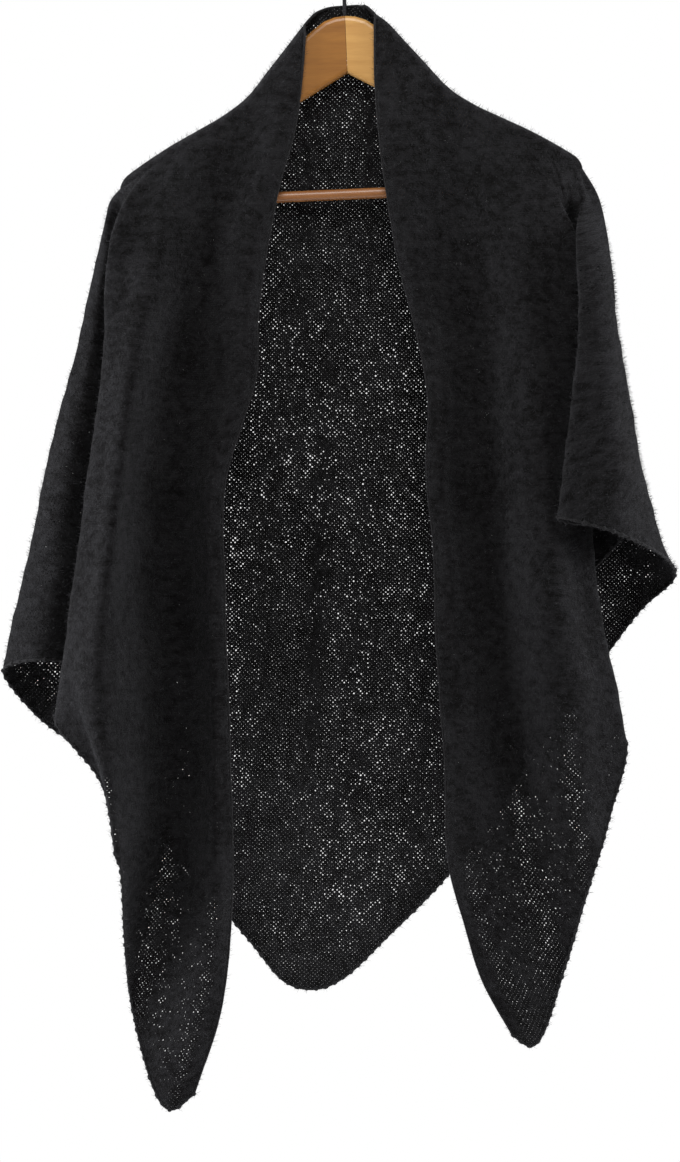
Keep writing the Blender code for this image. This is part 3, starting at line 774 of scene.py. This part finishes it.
cell = knit.put("CombineXYZ", column, knit.math("FLOOR", course)).outputs[0]
luck = knit.put("TexWhiteNoise", cell).outputs[0]
nudge = knit.math("MULTIPLY", knit.math("SUBTRACT", luck, 0.5), GAP_NUDGE)
off_u = knit.math("SUBTRACT", knit.math("FRACT", wale), knit.math("ADD", 0.5, nudge))
off_v = knit.math("SUBTRACT", knit.math("FRACT", course), knit.math("SUBTRACT", 0.5, nudge))
off_u = knit.math("DIVIDE", off_u, GAP_WIDE)
off_v = knit.math("DIVIDE", off_v, GAP_LONG)
away = knit.math("ADD", knit.math("MULTIPLY", off_u, off_u), knit.math("MULTIPLY", off_v, off_v))
thin = knit.noise(knit.stretched(flat, (1.0, 0.5, 1.0)), 110, 3.0, 0.7)
sparse = knit.math("MULTIPLY", knit.span(thin, 0.41, 0.68),
                   knit.span(cloud, 0.35, 0.58, 0.6, 1.0))
open_here = knit.math("MULTIPLY", knit.math("POWER", luck, FEW_ARE_OPEN), sparse)
open_here = knit.math("MULTIPLY", open_here, open_share)
cut = knit.math("SUBTRACT", away, knit.math("MULTIPLY", open_here, GAP_GROWTH))
knit.join(knit.span(cut, 0.0, SOFT_RIM), knit.shader.inputs["Alpha"])

scarf.data.materials.append(knit.material)
shell = scarf.modifiers.new("shell", "SOLIDIFY")
shell.thickness = THICK * MM
shell.offset = 0.0
bpy.context.view_layer.update()
solid = bpy.data.meshes.new_from_object(
    scarf.evaluated_get(bpy.context.evaluated_depsgraph_get()))
scarf.modifiers.clear()
scarf.data = solid
print("scarf triangles", sum(len(p.vertices) - 2 for p in solid.polygons))

# %% [markdown]
# ## Edges
# The two short edges are bound off, which leaves a firm little cord with a bump every few
# stitches. The long edge is plain and rolls up on itself. Both follow a path along the sheet's
# own rim, so Geometry Nodes sweep a round profile along it, and set a bead for each bump.

# %% Geometry node helper
class Growth:
    """A geometry node tree with named inputs, put on an object and then made a plain mesh."""

    def __init__(self, name):
        self.tree = bpy.data.node_groups.new(name, "GeometryNodeTree")
        for way in ("INPUT", "OUTPUT"):
            self.tree.interface.new_socket(
                "Geometry", in_out=way, socket_type="NodeSocketGeometry")
        self.values = {}
        self.source = self.tree.nodes.new("NodeGroupInput")

    def size(self, name, value, kind="NodeSocketFloat"):
        """A named input of the tree, with the value that it is given."""
        socket = self.tree.interface.new_socket(name, in_out="INPUT", socket_type=kind)
        self.values[socket.identifier] = value
        return self.source.outputs[name]

    def put(self, kind, inputs=None, **settings):
        """A node of this kind, with its inputs by number."""
        node = self.tree.nodes.new(kind)
        for key, value in settings.items():
            setattr(node, key, value)
        for number, value in (inputs or {}).items():
            if hasattr(value, "is_linked"):
                self.tree.links.new(value, node.inputs[number])
            else:
                node.inputs[number].default_value = value
        return node

    def vector(self, operation, a, b):
        """The result of one operation on two vectors."""
        return self.put("ShaderNodeVectorMath", {0: a, 1: b}, operation=operation).outputs[0]

    def scaled(self, a, factor):
        """The vector times a number."""
        return self.put("ShaderNodeVectorMath", {0: a, 3: factor}, operation="SCALE").outputs[0]

    def random_vector(self, low, high, seed):
        """A vector for each point, drawn between two corners."""
        return self.put("FunctionNodeRandomValue", {0: low, 1: high, 8: seed},
                        data_type="FLOAT_VECTOR").outputs[0]

    def turned_to(self, direction):
        """The rotation that points an instance's height in a direction."""
        return self.put("FunctionNodeAlignRotationToVector", {2: direction}, axis="Z").outputs[0]

    def resampled(self, line, step):
        """The curve with its points a step apart."""
        return self.put("GeometryNodeResampleCurve", {0: line, 3: step}, mode="LENGTH").outputs[0]

    def tube(self, line, sides, radius):
        """A closed tube along the curve."""
        ring = self.put("GeometryNodeCurvePrimitiveCircle", {0: sides, 4: radius}).outputs[0]
        return self.put("GeometryNodeCurveToMesh", {0: line, 1: ring, 3: True}).outputs[0]

    def grow(self, obj, geometry, material):
        """Realizes the result and gives it its material. It becomes a new, plain object."""
        real = self.put("GeometryNodeRealizeInstances", {0: geometry}).outputs[0]
        dressed = self.put("GeometryNodeSetMaterial", {0: real, 2: material}).outputs[0]
        end = self.tree.nodes.new("NodeGroupOutput")
        self.tree.links.new(dressed, end.inputs[0])
        modifier = obj.modifiers.new(self.tree.name, "NODES")
        modifier.node_group = self.tree
        for identifier, value in self.values.items():
            modifier[identifier] = value
        bpy.context.view_layer.update()
        made = bpy.data.meshes.new_from_object(
            obj.evaluated_get(bpy.context.evaluated_depsgraph_get()))
        obj.modifiers.clear()
        piece = put_in_scene(self.tree.name, made)
        print(piece.name, sum(len(p.vertices) - 2 for p in made.polygons), "triangles")
        return piece


def path_object(name, points):
    """A chain of edges through the points, which the node trees turn into a curve."""
    mesh = bpy.data.meshes.new(name)
    mesh.from_pydata(points.tolist(), [(i, i + 1) for i in range(len(points) - 1)], [])
    return put_in_scene(name, mesh)


# %% Yarn
yarn = Tree("edge yarn")
where = yarn.put("TexCoord").outputs["Object"]
twist = yarn.noise(where, 900, 4.0, 0.7)
yarn.colour(twist, (0.35, (0.0070, 0.0069, 0.0070)), (0.65, (0.0240, 0.0238, 0.0250)))
yarn.bump(twist, 0.6, 0.0008)
yarn.wool(0.06, 0.45)

# %% Bound-off edge
hem_path = path_object("hem_path", places[-1])
binding = Growth("bound_edge")
cord_radius = binding.size("Cord radius", 1.2 * MM)
bump_radius = binding.size("Bump radius", 2.1 * MM)
pitch = binding.size("Bump pitch", 9.5 * MM)
seed = binding.size("Seed", 4, "NodeSocketInt")
line = binding.put("GeometryNodeMeshToCurve", {0: binding.source.outputs[0]}).outputs[0]
cord = binding.tube(binding.resampled(line, 4 * MM), 7, cord_radius)
ball = binding.put("GeometryNodeMeshUVSphere", {0: 8, 1: 6, 2: bump_radius}).outputs[0]
along = binding.turned_to(binding.put("GeometryNodeInputTangent").outputs[0])
spread = binding.random_vector((0.8, 0.8, 1.0), (1.2, 1.2, 1.7), seed)
bumps = binding.put("GeometryNodeInstanceOnPoints", {
    0: binding.resampled(line, pitch), 2: ball, 5: along, 6: spread}).outputs[0]
joined = binding.put("GeometryNodeJoinGeometry")
for part in (cord, bumps):
    binding.tree.links.new(part, joined.inputs[0])
bound_edge = binding.grow(hem_path, joined.outputs[0], yarn.material)

# %% Rolled edge
neck_first, neck_last = first[len(LEFT_FRONT) + 4], first[len(LEFT_FRONT) + 8]
rim_path = path_object("rim_path", np.concatenate(
    [places[::-1, 0], places[0, neck_first + 1:neck_last], places[:, -1]]))
rolling = Growth("rolled_edge")
roll_radius = rolling.size("Roll radius", 1.2 * MM)
line = rolling.put("GeometryNodeMeshToCurve", {0: rolling.source.outputs[0]}).outputs[0]
roll = rolling.tube(rolling.resampled(line, 5 * MM), 8, roll_radius)
rolled_edge = rolling.grow(rim_path, roll, yarn.material)
for path in (hem_path, rim_path):
    bpy.data.objects.remove(path)

# %% [markdown]
# ## Mohair
# Brushed mohair stands off the knit as a halo of fine, bent hairs. One tapered, curved blade
# of three triangles is enough for a hair. Geometry Nodes scatter it over both sides of the
# sheet and over its edges. Tufts lean together, each hair then goes a little its own way, and
# their lengths are drawn at random. They soften the cloth's outline as the real nap does.

# %% Hair material
pile = Tree("mohair hairs")
where = pile.put("TexCoord").outputs["Object"]
tone = pile.noise(where, 170, 3.0, 0.6)
pile.colour(tone, (0.40, (0.006, 0.0057, 0.0058)), (0.62, (0.0525, 0.052, 0.056)))
pile.shader.inputs["Roughness"].default_value = 0.8
pile.shader.inputs["Specular IOR Level"].default_value = 0.2

# %% Hairs
HAIR_WIDE = 0.26
LEAN = 0.7
SWIRL = 3.0

# A hair of one millimetre, which the instances make longer
hair_mesh = bpy.data.meshes.new("hair")
hair_mesh.from_pydata(
    [(-HAIR_WIDE / 2 * MM, 0, 0), (HAIR_WIDE / 2 * MM, 0, 0),
     (HAIR_WIDE / 3 * MM, 0.10 * MM, 0.5 * MM), (-HAIR_WIDE / 3 * MM, 0.10 * MM, 0.5 * MM),
     (0, 0.38 * MM, 0.9 * MM)],
    [], [(0, 1, 2, 3), (3, 2, 4)])
hair = bpy.data.objects.new("hair", hair_mesh)


def grow_nap(name, ground, seed_value):
    """Hairs scattered over the ground object and leaning both ways from its faces."""
    nap = Growth(name)
    density = nap.size("Hairs per square metre", 205000.0)
    length = nap.size("Hair length in mm", 7.0)
    stand = nap.size("Stand", 0.95)
    outside = nap.size("Share outside", 0.62)
    tufts = nap.size("Tufts per metre", 90.0)
    seed = nap.size("Seed", seed_value, "NodeSocketInt")
    scatter = nap.put("GeometryNodeDistributePointsOnFaces",
                      {0: nap.source.outputs[0], 4: density, 6: seed})
    flip = nap.put("FunctionNodeRandomValue", {6: outside, 8: seed}, data_type="BOOLEAN").outputs[3]
    sign = nap.put("ShaderNodeMapRange", {0: flip, 3: -1.0, 4: 1.0}).outputs[0]
    out = nap.scaled(nap.scaled(scatter.outputs[1], sign), stand)
    lean = nap.random_vector((-LEAN,) * 3, (LEAN,) * 3, seed)
    tuft = nap.put("ShaderNodeTexNoise", {2: tufts, 3: 2.0}).outputs[1]
    swirl = nap.scaled(nap.vector("SUBTRACT", tuft, (0.5, 0.5, 0.5)), SWIRL)
    turned = nap.turned_to(nap.vector("ADD", out, nap.vector("ADD", lean, swirl)))
    spread = nap.random_vector((0.7, -1.2, 0.35), (1.3, 1.2, 1.0), seed)
    sized = nap.vector("MULTIPLY", spread, nap.put(
        "ShaderNodeCombineXYZ", {0: 1.0, 1: length, 2: length}).outputs[0])
    blade = nap.put("GeometryNodeObjectInfo", {0: hair, 1: True}).outputs[4]
    hairs = nap.put("GeometryNodeInstanceOnPoints",
                    {0: scatter.outputs[0], 2: blade, 5: turned, 6: sized}).outputs[0]
    return nap.grow(ground, hairs, pile.material)


naps = [grow_nap("nap_hem", bound_edge, 15), grow_nap("nap_roll", rolled_edge, 16)]
stretches = (("nap_left", 0, left_side, 11),
             ("nap_back_left", left_side, middle, 12),
             ("nap_back_right", middle, right_side, 13),
             ("nap_right", right_side, inner.shape[1] - 1, 14))
for name, from_column, to_column, seed_value in stretches:
    ground = net("stretch", places[:, from_column:to_column + 1])
    naps.append(grow_nap(name, ground, seed_value))
    bpy.data.objects.remove(ground)
bpy.data.objects.remove(hair)

# %% [markdown]
# ## Wood and steel
# The right arm is paler than the left one, and the bar is a redder dowel. All three have straight
# grain and a thin satin coat. The hook is wire with a black finish.

# %% Hanger materials
GRAIN_STRETCH = (0.09, 1.0, 1.0)


def wood(name, dark, light, scale):
    """Straight-grained wood: long, thin noise streaks along the piece, in object space."""
    made = Tree(name)
    along = made.stretched(made.put("TexCoord").outputs["Object"], GRAIN_STRETCH, (0, ROLL, 0))
    grain = made.noise(along, scale, 5.0, 0.6)
    fine = made.noise(along, scale * 6, 3.0, 0.6)
    made.colour(made.blend((grain, 0.7), (fine, 0.3)), (0.25, dark), (0.75, light))
    made.bump(fine, 0.15, 0.0004)
    made.shader.inputs["Roughness"].default_value = 0.38
    made.shader.inputs["Coat Weight"].default_value = 0.15
    made.shader.inputs["Coat Roughness"].default_value = 0.25
    return made.material


def black_steel(name):
    """Dark plated wire, a little uneven in shade and polish."""
    made = Tree(name)
    where = made.put("TexCoord").outputs["Object"]
    streak = made.noise(where, 1400, 2.0, 0.5)
    made.colour(streak, (0.3, (0.030, 0.030, 0.033)), (0.7, (0.070, 0.070, 0.075)))
    made.join(made.span(streak, 0.3, 0.7, 0.24, 0.38), made.shader.inputs["Roughness"])
    made.shader.inputs["Metallic"].default_value = 1.0
    return made.material


def dress(node, material):
    """Puts a material on every face of a CAD node, in the slots that it has."""
    slots = nodes[node].data.materials
    for number in range(len(slots)):
        slots[number] = material
    if not slots:
        slots.append(material)


dress("hanger_left_arm",
      wood("honey wood, darker", (0.185, 0.069, 0.0095), (0.308, 0.130, 0.0215), 130))
dress("hanger_right_arm",
      wood("honey wood, lighter", (0.39, 0.190, 0.049), (0.55, 0.310, 0.093), 130))
dress("trouser_bar", wood("bar wood", (0.194, 0.067, 0.0165), (0.338, 0.137, 0.039), 200))
dress("hook", black_steel("brushed steel"))

# %% Finish
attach(scarf, "root")
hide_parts("back", "left_front", "right_front")
trims = [bound_edge, rolled_edge] + naps
for trim in trims:
    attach(trim, "root")
bpy.context.view_layer.update()
